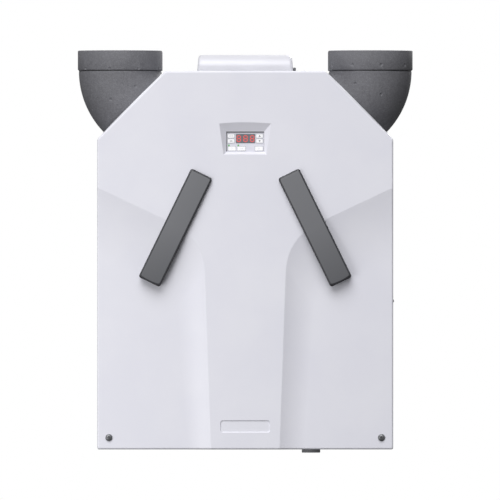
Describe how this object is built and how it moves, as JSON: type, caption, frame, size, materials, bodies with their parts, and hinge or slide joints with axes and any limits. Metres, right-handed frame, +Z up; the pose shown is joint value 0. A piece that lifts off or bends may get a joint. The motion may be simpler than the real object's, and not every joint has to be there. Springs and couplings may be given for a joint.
{
  "type": "heat recovery ventilation unit",
  "caption": "Wall-hung heat recovery unit with slanted pull-out filter drawers, a display recess, foam duct elbows on sloping shoulders, fans and an exchanger inside.",
  "frame": {"origin": "centre of the wall rail's back face, in the wall plane", "axes": "+Z up, +Y towards the wall, so the front faces -Y; +X to the viewer's right"},
  "size_m": [0.6308, 0.402, 0.7575],
  "materials": {
    "cover_plastic": "satin",
    "casing_sheet": "satin",
    "zinc_steel": "satin",
    "duct_foam": "matte",
    "core_foam": "matte",
    "handle_plastic": "satin",
    "black_plastic": "satin",
    "rubber": "matte",
    "key_plastic": "satin",
    "fascia_plastic": "satin",
    "window_plastic": "gloss",
    "green_light": "gloss",
    "circuit_board": "satin",
    "exchanger_plastic": "satin",
    "filter_card": "matte",
    "filter_fleece": "matte",
    "fan_plastic": "satin",
    "motor_casting": "satin"
  },
  "bodies": {
    "cabinet": {"back_plate": "casing_sheet", "bottom_plate": "casing_sheet", "bypass_light": "green_light", "bypass_servo": "black_plastic", "cable_grommet": "rubber", "condensate_tray": "black_plastic", "control_board": "circuit_board", "control_box": "black_plastic", "cover_insulation": "core_foam", "display_board": "circuit_board", "display_window": "window_plastic", "drain_spigot": "handle_plastic", "exchanger_core": "exchanger_plastic", "exhaust_fan_housing": "fan_plastic", "exhaust_fan_motor": "motor_casting", "foam_core": "core_foam", "front_cover": "cover_plastic", "hanger_bracket": "zinc_steel", "keypad_fascia": "fascia_plastic", "left_cover_screw": "black_plastic", "left_rear_collar": "duct_foam", "left_rear_elbow": "duct_foam", "left_side_plate": "casing_sheet", "rear_foam": "core_foam", "right_cover_screw": "black_plastic", "right_rear_collar": "duct_foam", "right_rear_elbow": "duct_foam", "right_side_plate": "casing_sheet", "side_screw": "black_plastic", "supply_fan_housing": "fan_plastic", "supply_fan_motor": "motor_casting", "terminal_cover": "cover_plastic", "timer_light": "green_light", "top_plate": "casing_sheet", "wall_buffer": "rubber", "wall_rail": "zinc_steel"},
    "left_drawer": {"left_filter_handle": "handle_plastic", "left_filter_plug": "core_foam", "left_filter_seal": "rubber", "left_filter_frame": "filter_card", "left_filter_pleats": "filter_fleece"},
    "left_front_duct": {"left_front_elbow": "duct_foam", "left_front_collar": "duct_foam"},
    "right_drawer": {"right_filter_handle": "handle_plastic", "right_filter_plug": "core_foam", "right_filter_seal": "rubber", "right_filter_frame": "filter_card", "right_filter_pleats": "filter_fleece"},
    "right_front_duct": {"right_front_elbow": "duct_foam", "right_front_collar": "duct_foam"},
    "fan_key_cap": {"fan_key": "key_plastic"},
    "filter_key_cap": {"filter_key": "key_plastic"},
    "up_key_cap": {"up_key": "key_plastic"},
    "down_key_cap": {"down_key": "key_plastic"},
    "timer_key_cap": {"timer_key": "key_plastic"},
    "bypass_key_cap": {"bypass_key": "key_plastic"},
    "menu_key_cap": {"menu_key": "key_plastic"},
    "supply_wheel": {"supply_impeller": "fan_plastic"},
    "exhaust_wheel": {"exhaust_impeller": "fan_plastic"},
    "bypass_blade": {"bypass_flap": "black_plastic"}
  },
  "joints": [
    {"name": "left_drawer_slide", "type": "slide", "parent": "cabinet", "child": "left_drawer", "axis": [0, -1, 0], "range_m": [0, 0.34]},
    {"name": "left_duct_swivel", "type": "hinge", "parent": "cabinet", "child": "left_front_duct", "pos_m": [-0.21022, -0.274, 0.04988], "axis": [0.7071, 0, -0.7071], "range_deg": [0, 180]},
    {"name": "right_drawer_slide", "type": "slide", "parent": "cabinet", "child": "right_drawer", "axis": [0, -1, 0], "range_m": [0, 0.34]},
    {"name": "right_duct_swivel", "type": "hinge", "parent": "cabinet", "child": "right_front_duct", "pos_m": [0.21022, -0.274, 0.04988], "axis": [0.7071, 0, 0.7071], "range_deg": [0, 180]},
    {"name": "fan_key_press", "type": "slide", "parent": "cabinet", "child": "fan_key_cap", "axis": [0, 1, 0], "range_m": [0, 0.0008], "stiffness_N_per_m": 500},
    {"name": "filter_key_press", "type": "slide", "parent": "cabinet", "child": "filter_key_cap", "axis": [0, 1, 0], "range_m": [0, 0.0008], "stiffness_N_per_m": 500},
    {"name": "up_key_press", "type": "slide", "parent": "cabinet", "child": "up_key_cap", "axis": [0, 1, 0], "range_m": [0, 0.0008], "stiffness_N_per_m": 500},
    {"name": "down_key_press", "type": "slide", "parent": "cabinet", "child": "down_key_cap", "axis": [0, 1, 0], "range_m": [0, 0.0008], "stiffness_N_per_m": 500},
    {"name": "timer_key_press", "type": "slide", "parent": "cabinet", "child": "timer_key_cap", "axis": [0, 1, 0], "range_m": [0, 0.0008], "stiffness_N_per_m": 500},
    {"name": "bypass_key_press", "type": "slide", "parent": "cabinet", "child": "bypass_key_cap", "axis": [0, 1, 0], "range_m": [0, 0.0008], "stiffness_N_per_m": 500},
    {"name": "menu_key_press", "type": "slide", "parent": "cabinet", "child": "menu_key_cap", "axis": [0, 1, 0], "range_m": [0, 0.0008], "stiffness_N_per_m": 500},
    {"name": "supply_wheel_spin", "type": "hinge", "parent": "cabinet", "child": "supply_wheel", "pos_m": [0.17, -0.105, -0.482], "axis": [0, -1, 0], "continuous": true},
    {"name": "exhaust_wheel_spin", "type": "hinge", "parent": "cabinet", "child": "exhaust_wheel", "pos_m": [-0.17, -0.105, -0.482], "axis": [0, 1, 0], "continuous": true},
    {"name": "bypass_blade_turn", "type": "hinge", "parent": "cabinet", "child": "bypass_blade", "pos_m": [-0.1387, -0.24, -0.3], "axis": [0, 1, 0], "range_deg": [0, 90]}
  ]
}
